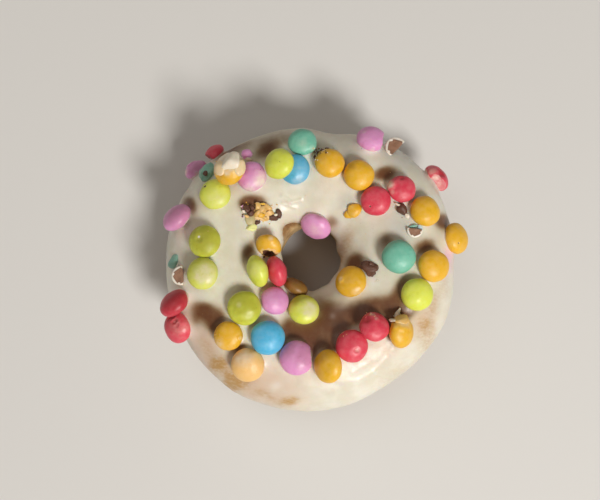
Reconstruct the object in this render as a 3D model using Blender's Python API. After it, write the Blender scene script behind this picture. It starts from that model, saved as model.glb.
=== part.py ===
"""Ring doughnut with cream icing, topped with small sugar-shelled chocolate beans and bits of them.

The ring lies flat: +X and +Y across it, +Z up, and the origin in the middle of the ground under it.
Every solid is worked out from one section that runs round the ring. The section changes with the angle,
because the rim bulges and the hole is oval and off the middle. The icing is the same section, pushed out
along its normal, and each bean is let down onto the icing until it rests there.
"""
from dataclasses import dataclass
import math

import bmesh
import bpy
import numpy as np
from mathutils import Matrix, Vector
from mathutils.bvhtree import BVHTree

MM = 0.001

# The ring of dough.
RIM_RADIUS = 41.6 * MM
HOLE_CENTRE = (0.8 * MM, 3.0 * MM)
HOLE_RADII = (9.3 * MM, 10.5 * MM)
CREST_HEIGHT = 28.6 * MM
WAIST_HEIGHT = 13.5 * MM
FLAT_SHARE = 0.46
ROUNDNESS = 2.25
ANGLE_STEPS = 64
DOUGH_STEPS = (4, 6, 6, 4)

# Swellings of the rim: direction in degrees, half width in degrees, and how far they reach out.
RIM_SWELLINGS = (
    (85.0, 78.0, 1.3 * MM),
    (37.0, 33.0, 3.0 * MM),
    (150.0, 30.0, 1.4 * MM),
    (240.0, 20.0, 0.4 * MM),
    (340.0, 16.0, 1.1 * MM),
    (303.0, 14.0, -0.6 * MM),
    (80.0, 10.0, -2.0 * MM),
)

# Soft unevenness of the crest: waves round the ring, their height, and where they start in degrees.
CREST_WAVES = (
    (2, 0.5 * MM, 40.0),
    (3, 0.35 * MM, 200.0),
    (5, 0.2 * MM, 75.0),
)

# The icing over it. Its place along the section counts quarters: 0 outer waist, 1 crest, 2 inner waist.
GAP = 0.3 * MM
ICING_GAP = 0.4 * MM
ICING_THICKNESS = 1.6 * MM
ICING_EDGE_THICKNESS = 0.45 * MM
ICING_OUTER_EDGE = -0.26
ICING_INNER_EDGE = 1.86
ICING_STEPS = 17
ICING_EDGE_WAVES = (
    (5, 0.07, 10.0),
    (8, 0.06, 130.0),
    (13, 0.035, 60.0),
)
# Where the icing stops short of the hole: direction in degrees, half width, and share of a quarter.
BARE_LIP = (135.0, 32.0, 0.22)

# The beans, and how far they sink into the icing.
BEAN_RADIUS = 4.6 * MM
BEAN_HALF_THICKNESS = 2.85 * MM
BEAN_SEGMENTS = 14
BEAN_BANDS = 6
BEAN_SINK = 0.9 * MM
BEAN_GAP = 0.22 * MM
LIE_SHARE = 0.8
EASE_ROUNDS = 120
PULL_BACK_ROUNDS = 30
PULL_BACK_SHARE = 0.04
DIRECTIONS_TRIED = 600


@dataclass
class Lay:
    """How one bean is laid: its colour and its place on the plan in mm.

    size is its share of the full size. tilt is the lean of its upper face in degrees, towards heading, and
    None lies along the icing. lift holds it up in mm on its neighbours. chip is the direction of a broken
    side in degrees and how far from the middle the break is, as a share of the radius.
    """

    colour: str
    across: float
    up: float
    size: float = 1.0
    tilt: float = None
    heading: float = 0.0
    lift: float = 0.0
    chip: tuple = None


BEANS = (
    Lay("red", -29.7, 35.9, size=0.76, tilt=50, heading=140, chip=(235, 0.5)),
    Lay("pink", -35.2, 31.2, size=0.82, tilt=55, heading=130),
    Lay("orange", -22.7, 26.6, size=1.05, tilt=30, heading=155, lift=3.8),
    Lay("pink", -17.8, 25.8, size=0.96),
    Lay("lime", -27.7, 20.4, size=1.02),
    Lay("pink", -39.5, 14.0, size=1.03, tilt=55, heading=135),
    Lay("lime", -30.6, 5.0, size=1.04),
    Lay("lime", -31.0, -2.2),
    Lay("red", -39.6, -12.3, size=1.02, tilt=52, heading=130),
    Lay("red", -39.2, -18.0, size=1.02, tilt=40, heading=205),
    Lay("orange", -10.4, 0.9, size=0.84, tilt=50, heading=250),
    Lay("lime", -14.8, -2.9, size=1.02, tilt=76, heading=198),
    Lay("red", -8.2, -3.5, size=1.0, tilt=78, heading=198),
    Lay("pink", -12.2, -10.1, size=0.91),
    Lay("lime", -16.9, -13.6, size=1.07),
    Lay("orange", -22.5, -20.2, size=0.92),
    Lay("blue", -12.5, -24.0, size=1.08),
    Lay("peach", -16.4, -28.1, size=1.05),
    Lay("orange", -6.0, -6.6, size=0.84, tilt=80, heading=60),
    Lay("lime", -3.2, -10.6, size=0.98),
    Lay("pink", -0.9, -27.6, size=1.08, chip=(5, 0.8)),
    Lay("orange", 4.4, -27.6, size=1.05, tilt=46, heading=185),
    Lay("red", 12.9, -23.8, size=1.02),
    Lay("red", 17.4, -21.4, size=0.94, tilt=22, heading=60, lift=0.9),
    Lay("orange", 24.4, -20.3, size=0.97, tilt=48, heading=350),
    Lay("lime", 31.3, -9.5, size=1.04),
    Lay("orange", 36.3, -1.0, size=1.02),
    Lay("teal", 26.0, 1.5, size=1.06),
    Lay("orange", 44.5, 8.3, size=1.03),
    Lay("orange", 34.2, 15.3),
    Lay("red", 19.7, 19.8, size=0.96),
    Lay("red", 26.3, 21.4, size=0.9),
    Lay("red", 40.1, 28.4, size=1.0, tilt=66, heading=35, chip=(230, 0.75)),
    Lay("orange", 15.2, 24.6, size=0.99),
    Lay("orange", 6.5, 29.2, size=0.97),
    Lay("teal", -2.1, 35.9, size=0.95),
    Lay("blue", -4.9, 28.1, size=0.98),
    Lay("lime", -8.0, 28.1, tilt=28, heading=165, lift=4.5),
    Lay("pink", 18.9, 38.0, chip=(350, 0.7)),
    Lay("pink", 2.0, 11.9, size=1.02, tilt=60, heading=245),
    Lay("orange", 12.2, -5.4, size=1.03),
)

# Bits of broken beans fused to the icing: place on the plan in mm, half sizes in mm, turn in degrees.
BITS = (
    (-29.8, 28.2, (2.2, 2.9, 1.6), 30.0),
    (-19.5, 33.2, (2.1, 1.3, 1.4), 10.0),
    (-41.0, 1.6, (1.2, 1.6, 1.2), 10.0),
    (-39.2, -2.6, (1.6, 2.5, 1.5), 60.0),
    (-17.6, 14.5, (1.7, 1.4, 1.4), 70.0),
    (-13.4, 14.6, (3.0, 2.2, 1.1), 20.0),
    (-9.8, 14.6, (1.3, 1.3, 1.2), 0.0),
    (-16.8, 10.6, (1.0, 1.0, 1.0), 0.0),
    (24.9, 34.6, (2.5, 2.5, 2.0), 20.0),
    (12.4, 15.6, (2.5, 2.2, 1.5), 35.0),
    (27.2, 15.4, (2.2, 1.7, 1.6), 320.0),
    (30.4, 9.6, (2.5, 2.0, 1.0), 330.0),
    (17.6, -0.7, (2.1, 1.9, 1.6), 320.0),
)
BIT_SINK_SHARE = 0.35

# Colours as the photo shows them, linear red, green and blue.
COLOURS = {
    "dough": (0.52, 0.30, 0.12),
    "icing": (0.80, 0.73, 0.56),
    "lime": (0.70, 0.74, 0.10),
    "orange": (0.82, 0.42, 0.03),
    "red": (0.72, 0.07, 0.12),
    "pink": (0.75, 0.30, 0.58),
    "blue": (0.10, 0.45, 0.68),
    "teal": (0.20, 0.52, 0.38),
    "peach": (0.85, 0.58, 0.25),
}


def clear_scene():
    for item in list(bpy.data.objects):
        bpy.data.objects.remove(item, do_unlink=True)


def make_material(name, colour, roughness):
    material = bpy.data.materials.new(name)
    material.use_nodes = True
    shader = material.node_tree.nodes["Principled BSDF"]
    shader.inputs["Base Color"].default_value = (*colour, 1.0)
    shader.inputs["Roughness"].default_value = roughness
    shader.inputs["Metallic"].default_value = 0.0
    return material


def wrapped(angle, centre):
    """Degrees from centre to angle, between -180 and 180."""
    return (angle - centre + 180.0) % 360.0 - 180.0


def bump(angle, centre, half_width):
    return np.exp(-(wrapped(angle, centre) / half_width) ** 2)


def waves(angle, table):
    total = 0.0
    for count, height, start in table:
        total = total + height * np.sin(np.radians(count * angle + start))
    return total


def rim_radius(angle):
    radius = RIM_RADIUS + 0.0 * angle
    for centre, half_width, reach in RIM_SWELLINGS:
        radius = radius + reach * bump(angle, centre, half_width)
    return radius


def section(place):
    """Share across the ring (-1 hole, 1 rim) and share of height (-1 ground, 0 waist, 1 crest)."""
    turn = np.radians(90.0 * place)
    upper = (place >= 0.0) & (place <= 2.0)
    power = 2.0 / ROUNDNESS
    across_up = np.sign(np.cos(turn)) * np.abs(np.cos(turn)) ** power
    height_up = np.abs(np.sin(turn)) ** power
    # Below the waist the section is a quarter ellipse that ends at the flat on the ground.
    side = np.where(place < 1.0, 1.0, -1.0)
    drop = np.where(place < 1.0, -turn, turn - math.pi)
    across_down = side * (FLAT_SHARE + (1.0 - FLAT_SHARE) * np.cos(drop))
    height_down = -np.sin(drop)
    across = np.where(upper, across_up, across_down)
    height = np.where(upper, height_up, height_down)
    return across, height


def dough_points(angle, place):
    """Points of the dough for arrays of angle in degrees and place along the section."""
    direction = np.stack([np.cos(np.radians(angle)), np.sin(np.radians(angle))], axis=-1)
    rim = rim_radius(angle)[..., None] * direction
    hole = np.array(HOLE_CENTRE) + np.array(HOLE_RADII) * direction
    across, share = section(place)
    plan = (rim + hole) / 2.0 + (rim - hole) / 2.0 * across[..., None]
    crest = CREST_HEIGHT + waves(angle, CREST_WAVES)
    height = np.where(share > 0.0, WAIST_HEIGHT + (crest - WAIST_HEIGHT) * share, WAIST_HEIGHT * (1.0 + share))
    return np.concatenate([plan, height[..., None]], axis=-1)


def offset_points(angle, place, distance):
    """Points at a distance out from the dough, along its normal."""
    small_turn = 0.5
    small_step = 0.01
    along = dough_points(angle + small_turn, place) - dough_points(angle - small_turn, place)
    round_section = dough_points(angle, place + small_step) - dough_points(angle, place - small_step)
    normal = np.cross(along, round_section)
    normal /= np.linalg.norm(normal, axis=-1, keepdims=True)
    return dough_points(angle, place) + normal * np.asarray(distance)[..., None]


def add_object(name, mesh, material):
    mesh.materials.append(material)
    item = bpy.data.objects.new(name, mesh)
    bpy.context.scene.collection.objects.link(item)
    return item


def mesh_from_loops(name, loops):
    """A closed tube of quads: loops[i] is one ring of points, joined to the next and last to first."""
    count_round, count_section = loops.shape[0], loops.shape[1]
    points = loops.reshape(-1, 3)
    faces = []
    for i in range(count_round):
        after = (i + 1) % count_round
        for j in range(count_section):
            beside = (j + 1) % count_section
            faces.append((
                i * count_section + j,
                after * count_section + j,
                after * count_section + beside,
                i * count_section + beside,
            ))
    mesh = bpy.data.meshes.new(name)
    mesh.from_pydata(points.tolist(), [], faces)
    mesh.update()
    shape = bmesh.new()
    shape.from_mesh(mesh)
    bmesh.ops.recalc_face_normals(shape, faces=shape.faces)
    shape.to_mesh(mesh)
    shape.free()
    mesh.shade_smooth()
    return mesh


def angles_grid(count_section):
    angle = np.arange(ANGLE_STEPS) * 360.0 / ANGLE_STEPS
    return np.repeat(angle[:, None], count_section, axis=1)


def make_dough(material):
    """The ring: four quarters of section and the flat it rests on."""
    lower_outer, upper_outer, upper_inner, lower_inner = DOUGH_STEPS
    place = np.concatenate([
        np.linspace(-1.0, 0.0, lower_outer, endpoint=False),
        np.linspace(0.0, 1.0, upper_outer, endpoint=False),
        np.linspace(1.0, 2.0, upper_inner, endpoint=False),
        np.linspace(2.0, 3.0, lower_inner + 1),
    ])
    angle = angles_grid(len(place))
    loops = dough_points(angle, np.repeat(place[None, :], ANGLE_STEPS, axis=0))
    return add_object("dough_ring", mesh_from_loops("dough_ring", loops), material)


def icing_edges(angle):
    """Places along the section where the icing starts, at the rim, and stops, at the hole."""
    outer = ICING_OUTER_EDGE + waves(angle, ICING_EDGE_WAVES)
    centre, half_width, share = BARE_LIP
    inner = ICING_INNER_EDGE + 0.5 * waves(angle + 70.0, ICING_EDGE_WAVES) - share * bump(angle, centre, half_width)
    return outer, inner


def icing_thickness(share):
    """Thickness from one edge (share 0) to the other (share 1), full over the top and round at the edges."""
    from_middle = np.abs(2.0 * share - 1.0)
    fullness = np.sqrt(np.clip(1.0 - from_middle ** 8, 0.0, 1.0))
    return ICING_EDGE_THICKNESS + (ICING_THICKNESS - ICING_EDGE_THICKNESS) * fullness


def icing_surface(share, distance):
    angle = angles_grid(len(share))
    outer, inner = icing_edges(angle)
    place = outer + (inner - outer) * share[None, :]
    return offset_points(angle, place, distance + 0.0 * place)


def make_icing(material):
    share = np.linspace(0.0, 1.0, ICING_STEPS)
    top = icing_surface(share, ICING_GAP + icing_thickness(share)[None, :])
    under = icing_surface(share, ICING_GAP)
    loops = np.concatenate([top, under[:, ::-1]], axis=1)
    return add_object("icing", mesh_from_loops("icing", loops), material)


def surface_tree(item):
    shape = bmesh.new()
    shape.from_mesh(item.data)
    tree = BVHTree.FromBMesh(shape)
    shape.free()
    return tree


def support(radii, axis, direction):
    """How far a bean reaches from its centre in a direction."""
    along = axis.dot(direction)
    flat, thick = radii
    return math.sqrt(flat * flat * max(0.0, 1.0 - along * along) + thick * thick * along * along)


class Bean:
    """One bean: where it lies, how it leans, and where it meets the icing."""

    def __init__(self, lay):
        self.lay = lay
        self.spot = Vector((lay.across * MM, lay.up * MM, 0.0))
        self.plan = self.spot.copy()
        self.radii = (BEAN_RADIUS * lay.size, BEAN_HALF_THICKNESS * lay.size)
        self.fixed_axis = None
        if lay.tilt is not None:
            flat_part = math.sin(math.radians(lay.tilt))
            turn = math.radians(lay.heading)
            self.fixed_axis = Vector((
                flat_part * math.cos(turn),
                flat_part * math.sin(turn),
                math.cos(math.radians(lay.tilt)),
            ))

    def axis_over(self, normal):
        if self.fixed_axis is not None:
            return self.fixed_axis
        return (normal * LIE_SHARE + Vector((0.0, 0.0, 1.0 - LIE_SHARE))).normalized()

    def clears(self, tree, height):
        """Whether the bean, sunk by its share, is still off the icing at this height."""
        centre = Vector((self.plan.x, self.plan.y, height))
        foot, _, _, distance = tree.find_nearest(centre)
        away = (centre - foot).normalized()
        return distance > support(self.radii, self.axis_over(away), away) - BEAN_SINK + self.lay.lift * MM

    def settle(self, tree):
        """Let the bean down until it has sunk a little into the icing."""
        height, step = 50.0 * MM, 1.0 * MM
        while step > 0.005 * MM:
            if height - step > 0.0 and self.clears(tree, height - step):
                height -= step
            else:
                step /= 2.0
        centre = Vector((self.plan.x, self.plan.y, height))
        foot, _, _, _ = tree.find_nearest(centre)
        self.centre = centre
        self.away = (centre - foot).normalized()
        self.axis = self.axis_over(self.away)


def even_directions(count):
    """Unit vectors spread evenly over a sphere, on a spiral."""
    step = np.arange(count) + 0.5
    height = 1.0 - 2.0 * step / count
    turn = math.pi * (1.0 + math.sqrt(5.0)) * step
    flat = np.sqrt(1.0 - height * height)
    return np.stack([flat * np.cos(turn), flat * np.sin(turn), height], axis=-1)


def reaches(bean, directions):
    """The bean's support in each of many directions."""
    along = directions @ np.array(bean.axis)
    flat, thick = bean.radii
    return np.sqrt(flat * flat * (1.0 - along * along) + thick * thick * along * along)


def ease_apart(beans, tree):
    """Move beans that touch a little apart on the plan, until a plane with a gap fits between each two.

    In the first rounds each bean is also pulled back towards its own spot, so that crowded rows stay put.
    """
    directions = even_directions(DIRECTIONS_TRIED)
    for round_number in range(EASE_ROUNDS):
        for bean in beans:
            if round_number < PULL_BACK_ROUNDS:
                bean.plan += (bean.spot - bean.plan) * PULL_BACK_SHARE
            bean.settle(tree)
        moved = False
        for i, one in enumerate(beans):
            for other in beans[i + 1:]:
                line = other.centre - one.centre
                if line.length > 2.5 * BEAN_RADIUS:
                    continue
                clear = np.max(directions @ np.array(line) - reaches(one, directions) - reaches(other, directions))
                if clear < BEAN_GAP:
                    push = Vector((line.x, line.y, 0.0)).normalized() * ((BEAN_GAP - clear) * 0.5)
                    one.plan -= push
                    other.plan += push
                    moved = True
        if not moved and round_number >= PULL_BACK_ROUNDS:
            break


def frame_of(axis):
    """A turn that takes +Z to the axis."""
    return axis.to_track_quat("Z", "Y").to_matrix().to_4x4()


def foot_level(bean, tree):
    """How far below the bean's centre the icing starts, over the whole of its footprint."""
    side = bean.away.orthogonal().normalized()
    beside = bean.away.cross(side)
    highest = -1.0
    for ring in range(5):
        reach = bean.radii[0] * ring / 4.0
        for step in range(16):
            turn = 2.0 * math.pi * step / 16
            start = bean.centre + side * (reach * math.cos(turn)) + beside * (reach * math.sin(turn))
            start += bean.away * (2.0 * bean.radii[0])
            hit, _, _, _ = tree.ray_cast(start, -bean.away)
            if hit is not None:
                highest = max(highest, (hit - bean.centre).dot(bean.away))
    return highest + GAP


def close_cut(shape):
    open_edges = [edge for edge in shape.edges if edge.is_boundary]
    bmesh.ops.holes_fill(shape, edges=open_edges)
    bmesh.ops.recalc_face_normals(shape, faces=shape.faces)


def make_bean(name, bean, tree, material):
    shape = bmesh.new()
    bmesh.ops.create_uvsphere(shape, u_segments=BEAN_SEGMENTS, v_segments=BEAN_BANDS, radius=1.0)
    flat, thick = bean.radii
    place = Matrix.Translation(bean.centre) @ frame_of(bean.axis) @ Matrix.Diagonal((flat, flat, thick, 1.0))
    bmesh.ops.transform(shape, matrix=place, verts=shape.verts)
    level = bean.centre + bean.away * foot_level(bean, tree)
    geometry = list(shape.verts) + list(shape.edges) + list(shape.faces)
    bmesh.ops.bisect_plane(shape, geom=geometry, plane_co=level, plane_no=bean.away, clear_inner=True)
    close_cut(shape)
    if bean.lay.chip is not None:
        direction, share = bean.lay.chip
        turn = math.radians(direction)
        outward = Vector((math.cos(turn), math.sin(turn), 0.0))
        outward = (outward - bean.axis * outward.dot(bean.axis)).normalized()
        geometry = list(shape.verts) + list(shape.edges) + list(shape.faces)
        broken = bean.centre + outward * (share * flat)
        bmesh.ops.bisect_plane(shape, geom=geometry, plane_co=broken, plane_no=outward, clear_outer=True)
        close_cut(shape)
    mesh = bpy.data.meshes.new(name)
    shape.to_mesh(mesh)
    shape.free()
    mesh.shade_smooth()
    return add_object(name, mesh, material)


def make_bit(name, row, tree):
    """A rough crumb, sunk into the icing by part of its height."""
    across, up, half_sizes, turn = row
    above = Vector((across * MM, up * MM, 60.0 * MM))
    spot, normal, _, _ = tree.ray_cast(above, Vector((0.0, 0.0, -1.0)))
    sizes = [value * MM for value in half_sizes]
    centre = spot + normal * (sizes[2] * (1.0 - 2.0 * BIT_SINK_SHARE))
    shape = bmesh.new()
    bmesh.ops.create_icosphere(shape, subdivisions=1, radius=1.0)
    place = Matrix.Translation(centre) @ frame_of(normal) @ Matrix.Rotation(math.radians(turn), 4, "Z")
    bmesh.ops.transform(shape, matrix=place @ Matrix.Diagonal((*sizes, 1.0)), verts=shape.verts)
    mesh = bpy.data.meshes.new(name)
    shape.to_mesh(mesh)
    shape.free()
    return bpy.data.objects.new(name, mesh)


def fuse_bits(icing, tree):
    """One Boolean union of all the bits with the icing they stick to."""
    bits = bpy.data.collections.new("bits")
    bpy.context.scene.collection.children.link(bits)
    for number, row in enumerate(BITS, start=1):
        bits.objects.link(make_bit(f"bit_{number:02d}", row, tree))
    union = icing.modifiers.new("fuse_bits", "BOOLEAN")
    union.operation = "UNION"
    union.operand_type = "COLLECTION"
    union.collection = bits
    union.solver = "EXACT"
    fused = bpy.data.meshes.new_from_object(icing.evaluated_get(bpy.context.evaluated_depsgraph_get()))
    icing.modifiers.clear()
    icing.data = fused
    for bit in list(bits.objects):
        bpy.data.objects.remove(bit, do_unlink=True)
    bpy.data.collections.remove(bits)


def stand_on_origin():
    """Shift every mesh so that the origin is in the middle of the ground under the whole."""
    items = [item for item in bpy.data.objects if item.type == "MESH"]
    corners = [vertex.co for item in items for vertex in item.data.vertices]
    low = [min(corner[i] for corner in corners) for i in range(3)]
    high = [max(corner[i] for corner in corners) for i in range(3)]
    shift = Vector((-(low[0] + high[0]) / 2.0, -(low[1] + high[1]) / 2.0, -low[2]))
    for item in items:
        item.data.transform(Matrix.Translation(shift))


def main():
    clear_scene()
    roughness = {"dough": 0.7, "icing": 0.35}
    materials = {name: make_material(name, colour, roughness.get(name, 0.45)) for name, colour in COLOURS.items()}
    make_dough(materials["dough"])
    icing = make_icing(materials["icing"])
    tree = surface_tree(icing)
    beans = [Bean(lay) for lay in BEANS]
    ease_apart(beans, tree)
    fuse_bits(icing, tree)
    for number, bean in enumerate(beans, start=1):
        colour = bean.lay.colour
        make_bean(f"bean_{number:02d}_{colour}", bean, tree, materials[colour])
    stand_on_origin()


main()
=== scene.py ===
from dataclasses import dataclass
import itertools
import math

import bpy
import numpy as np
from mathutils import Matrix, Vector
from mathutils.bvhtree import BVHTree


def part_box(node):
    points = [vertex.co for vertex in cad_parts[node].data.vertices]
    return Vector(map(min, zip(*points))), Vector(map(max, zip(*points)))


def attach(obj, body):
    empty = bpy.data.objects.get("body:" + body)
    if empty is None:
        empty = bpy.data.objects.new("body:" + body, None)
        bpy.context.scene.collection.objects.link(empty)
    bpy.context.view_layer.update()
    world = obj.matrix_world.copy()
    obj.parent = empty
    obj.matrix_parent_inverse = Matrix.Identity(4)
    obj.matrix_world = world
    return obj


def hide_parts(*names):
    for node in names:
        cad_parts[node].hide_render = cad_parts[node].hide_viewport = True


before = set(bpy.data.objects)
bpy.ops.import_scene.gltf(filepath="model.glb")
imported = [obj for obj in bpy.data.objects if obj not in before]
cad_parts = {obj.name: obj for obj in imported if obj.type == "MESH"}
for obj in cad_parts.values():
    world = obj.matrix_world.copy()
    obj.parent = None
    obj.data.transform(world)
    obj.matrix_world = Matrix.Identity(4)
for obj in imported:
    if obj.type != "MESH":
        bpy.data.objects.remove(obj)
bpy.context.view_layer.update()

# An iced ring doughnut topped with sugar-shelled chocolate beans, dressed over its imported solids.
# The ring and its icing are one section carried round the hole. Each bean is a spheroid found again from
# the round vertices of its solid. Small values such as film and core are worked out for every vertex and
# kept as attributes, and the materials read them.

MM = 0.001

# The ring of dough, with the sizes that its solid has.
RIM_RADIUS = 41.6 * MM
HOLE_CENTRE = (0.8 * MM, 3.0 * MM)
HOLE_RADII = (9.3 * MM, 10.5 * MM)
CREST_HEIGHT = 28.6 * MM
WAIST_HEIGHT = 13.5 * MM
FLAT_SHARE = 0.46
ROUNDNESS = 2.25
SOLID_STEPS = 64

# Swellings of the rim: direction in degrees, half width in degrees, and how far they reach out.
RIM_SWELLINGS = (
    (85.0, 78.0, 1.3 * MM),
    (37.0, 33.0, 3.0 * MM),
    (150.0, 30.0, 1.4 * MM),
    (240.0, 20.0, 0.4 * MM),
    (340.0, 16.0, 1.1 * MM),
    (303.0, 14.0, -0.6 * MM),
    (80.0, 10.0, -2.0 * MM),
)
# Waves round the ring: how many, how high, and where they start in degrees.
CREST_WAVES = ((2, 0.5 * MM, 40.0), (3, 0.35 * MM, 200.0), (5, 0.2 * MM, 75.0))

# The icing. Its place along the section counts quarters: 0 outer waist, 1 crest, 2 inner waist.
ICING_GAP = 0.4 * MM
ICING_THICKNESS = 1.6 * MM
ICING_OUTER_EDGE = -0.26
ICING_INNER_EDGE = 1.86
ICING_EDGE_WAVES = ((5, 0.07, 10.0), (8, 0.06, 130.0), (13, 0.035, 60.0))
BARE_LIP = (135.0, 32.0, 0.22)

# The camera looks down on the ring and leans a little from the near side.
FRAME_WIDTH = 600
FRAME_HEIGHT = 500
SENSOR = 36.0
CAMERA_AIM = (-2.7 * MM, 6.1 * MM, 14.0 * MM)
CAMERA_LEAN = math.radians(8.0)
CAMERA_DISTANCE = 260 * MM
VIEW_WIDTH = 188.2 * MM

# Colours, linear red, green and blue.
SHELLS = {
    "lime": (0.72, 0.78, 0.080),
    "orange": (0.82, 0.455, 0.016),
    "red": (0.72, 0.050, 0.090),
    "pink": (0.76, 0.31, 0.60),
    "blue": (0.085, 0.47, 0.75),
    "teal": (0.175, 0.53, 0.39),
    "peach": (0.87, 0.53, 0.18),
    "cream": (0.84, 0.75, 0.60),
    "vanilla": (0.85, 0.65, 0.38),
    "honey": (0.72, 0.44, 0.12),
    "straw": (0.54, 0.46, 0.23),
    "lemon": (0.86, 0.88, 0.36),
    "sky": (0.50, 0.66, 0.74),
    "sea": (0.22, 0.46, 0.36),
}
ICING_CLOUDED = (0.82, 0.79, 0.69)
ICING_PLAIN = (0.73, 0.685, 0.56)
ICING_MILK_AND_GLINT = (0.88, 0.81, 0.74)
# Grey of painted shade on the icing.
ICING_SHADE_GREY = (0.42, 0.42, 0.38)
ICING_ROSY = (0.68, 0.52, 0.40)
DOUGH_THROUGH = (0.50, 0.29, 0.095)
# Browns of the dough seen through a thin coat, also laid on the icing as painted shade.
DOUGH_AND_SHADE_MID = (0.37, 0.265, 0.14)
DOUGH_AND_SHADE_DEEP = (0.155, 0.057, 0.020)
FILM = (0.82, 0.72, 0.58)
SUGAR = (0.87, 0.83, 0.76)
CHOCOLATE = (0.10, 0.040, 0.023)
CHOCOLATE_PALE = (0.165, 0.075, 0.048)
CHOCOLATE_MILK = (0.50, 0.28, 0.17)
CRUST = (0.42, 0.24, 0.09)
CRUST_DARK = (0.21, 0.10, 0.038)
CRUST_PALE = (0.62, 0.46, 0.24)
ICING_SPECK = (0.42, 0.28, 0.15)
FLOOR_COLOUR = (0.72, 0.71, 0.69)
SUGAR_IOR = 1.45
# What darkens a shell where it is mottled, pitted or dull, on a bean and on a broken bit; on bean 19 it
# paints shade.
BEAN_SHADE = (0.62, 0.58, 0.45)
BIT_SHADE = (0.66, 0.60, 0.5)
PALE_SHARE = 0.07
PALE_BIT_SHARE = 0.12


def wrapped(angle, centre):
    """Degrees from centre to angle, between -180 and 180."""
    return (angle - centre + 180.0) % 360.0 - 180.0


def bump(angle, centre, half_width):
    return np.exp(-(wrapped(angle, centre) / half_width) ** 2)


def waves(angle, table):
    return sum(height * np.sin(np.radians(count * angle + start)) for count, height, start in table)


def smooth(value, low, high):
    """0 below low, 1 above high and an even slope between; low may be the larger one."""
    share = np.clip((value - low) / (high - low), 0.0, 1.0)
    return share * share * (3.0 - 2.0 * share)


def unit(ways):
    return ways / np.linalg.norm(ways, axis=-1, keepdims=True)


def lattice(cell, seed):
    """A repeatable number from -1 to 1 for each whole cell."""
    x, y, z = (cell[..., axis].astype(np.int64) for axis in range(3))
    mixed = (x * 73856093) ^ (y * 19349663) ^ (z * 83492791) ^ (seed * 2654435761)
    mixed = ((mixed ^ (mixed >> 13)) * 1274126177) & 0x7FFFFFFF
    mixed = (mixed ^ (mixed >> 15)) & 0xFFFF
    return mixed / 32767.5 - 1.0


def lumps(points, size, seed):
    """Even lumps of about one size: the lattice numbers of a cell's eight corners, blended smoothly."""
    spot = points / size
    cell = np.floor(spot).astype(np.int64)
    share = spot - cell
    share = share * share * (3.0 - 2.0 * share)
    total = 0.0
    for corner in itertools.product((0, 1), repeat=3):
        corner = np.array(corner)
        weight = np.prod(np.where(corner == 1, share, 1.0 - share), axis=-1)
        total = total + weight * lattice(cell + corner, seed)
    return total


def section(place):
    """Share across the ring (-1 hole, 1 rim) and share of height (-1 ground, 0 waist, 1 crest).

    Above the waist it is a superellipse, and below it a quarter ellipse that ends at the flat.
    """
    turn = np.radians(90.0 * place)
    upper = (place >= 0.0) & (place <= 2.0)
    power = 2.0 / ROUNDNESS
    across_up = np.sign(np.cos(turn)) * np.abs(np.cos(turn)) ** power
    height_up = np.abs(np.sin(turn)) ** power
    side = np.where(place < 1.0, 1.0, -1.0)
    drop = np.where(place < 1.0, -turn, turn - math.pi)
    across_down = side * (FLAT_SHARE + (1.0 - FLAT_SHARE) * np.cos(drop))
    return np.where(upper, across_up, across_down), np.where(upper, height_up, -np.sin(drop))


def ring_points(angle, place):
    """Points of the ring for arrays of angle in degrees and place along the section."""
    direction = np.stack([np.cos(np.radians(angle)), np.sin(np.radians(angle))], axis=-1)
    reach = RIM_RADIUS + sum(out * bump(angle, centre, width) for centre, width, out in RIM_SWELLINGS)
    rim = reach[..., None] * direction
    hole = np.array(HOLE_CENTRE) + np.array(HOLE_RADII) * direction
    across, share = section(place)
    plan = (rim + hole) / 2.0 + (rim - hole) / 2.0 * across[..., None]
    crest = CREST_HEIGHT + waves(angle, CREST_WAVES)
    above = WAIST_HEIGHT + (crest - WAIST_HEIGHT) * share
    height = np.where(share > 0.0, above, WAIST_HEIGHT * (1.0 + share))
    return np.concatenate([plan, height[..., None]], axis=-1)


def ring_shift():
    """How far the solids were moved to stand on the origin: the corner of the ring's waist and of its box."""
    angle = np.arange(SOLID_STEPS) * 360.0 / SOLID_STEPS
    shift = np.array(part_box("dough_ring")[0]) - ring_points(angle, 0.0 * angle).min(axis=0)
    shift[2] = 0.0
    return shift


SHIFT = ring_shift()


def surface(angle, place):
    """Points of the ring where it stands, and the way out of it: the cross product of its two slopes."""
    along = ring_points(angle + 0.5, place) - ring_points(angle - 0.5, place)
    across = ring_points(angle, place + 0.01) - ring_points(angle, place - 0.01)
    return ring_points(angle, place) + SHIFT, unit(np.cross(along, across))


def put(name, data):
    """A new object in the scene."""
    item = bpy.data.objects.new(name, data)
    bpy.context.scene.collection.objects.link(item)
    return item


class Camera:
    """The photograph's camera, and the rays that its pixels look along."""

    def __init__(self):
        self.back = np.array([0.0, -math.sin(CAMERA_LEAN), math.cos(CAMERA_LEAN)])
        self.up = np.array([0.0, self.back[2], -self.back[1]])
        self.place = np.array(CAMERA_AIM) + SHIFT + CAMERA_DISTANCE * self.back
        self.lens = SENSOR * CAMERA_DISTANCE / VIEW_WIDTH

    def ray(self, pixel):
        x = (pixel[0] - FRAME_WIDTH / 2) / FRAME_WIDTH * SENSOR / self.lens
        y = (FRAME_HEIGHT / 2 - pixel[1]) / FRAME_WIDTH * SENSOR / self.lens
        return unit(np.array([x, 0.0, 0.0]) + y * self.up - self.back)

    def pixels(self, points):
        """Where points appear in the photo's frame."""
        away = points - self.place
        scale = self.lens / SENSOR * FRAME_WIDTH / -(away @ self.back)
        return FRAME_WIDTH / 2 + away[..., 0] * scale, FRAME_HEIGHT / 2 - (away @ self.up) * scale

    def add(self):
        data = bpy.data.cameras.new("camera")
        data.sensor_width = SENSOR
        data.lens = self.lens
        item = put("camera", data)
        item.location = self.place
        item.rotation_euler = (CAMERA_LEAN, 0.0, 0.0)
        bpy.context.scene.camera = item


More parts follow.
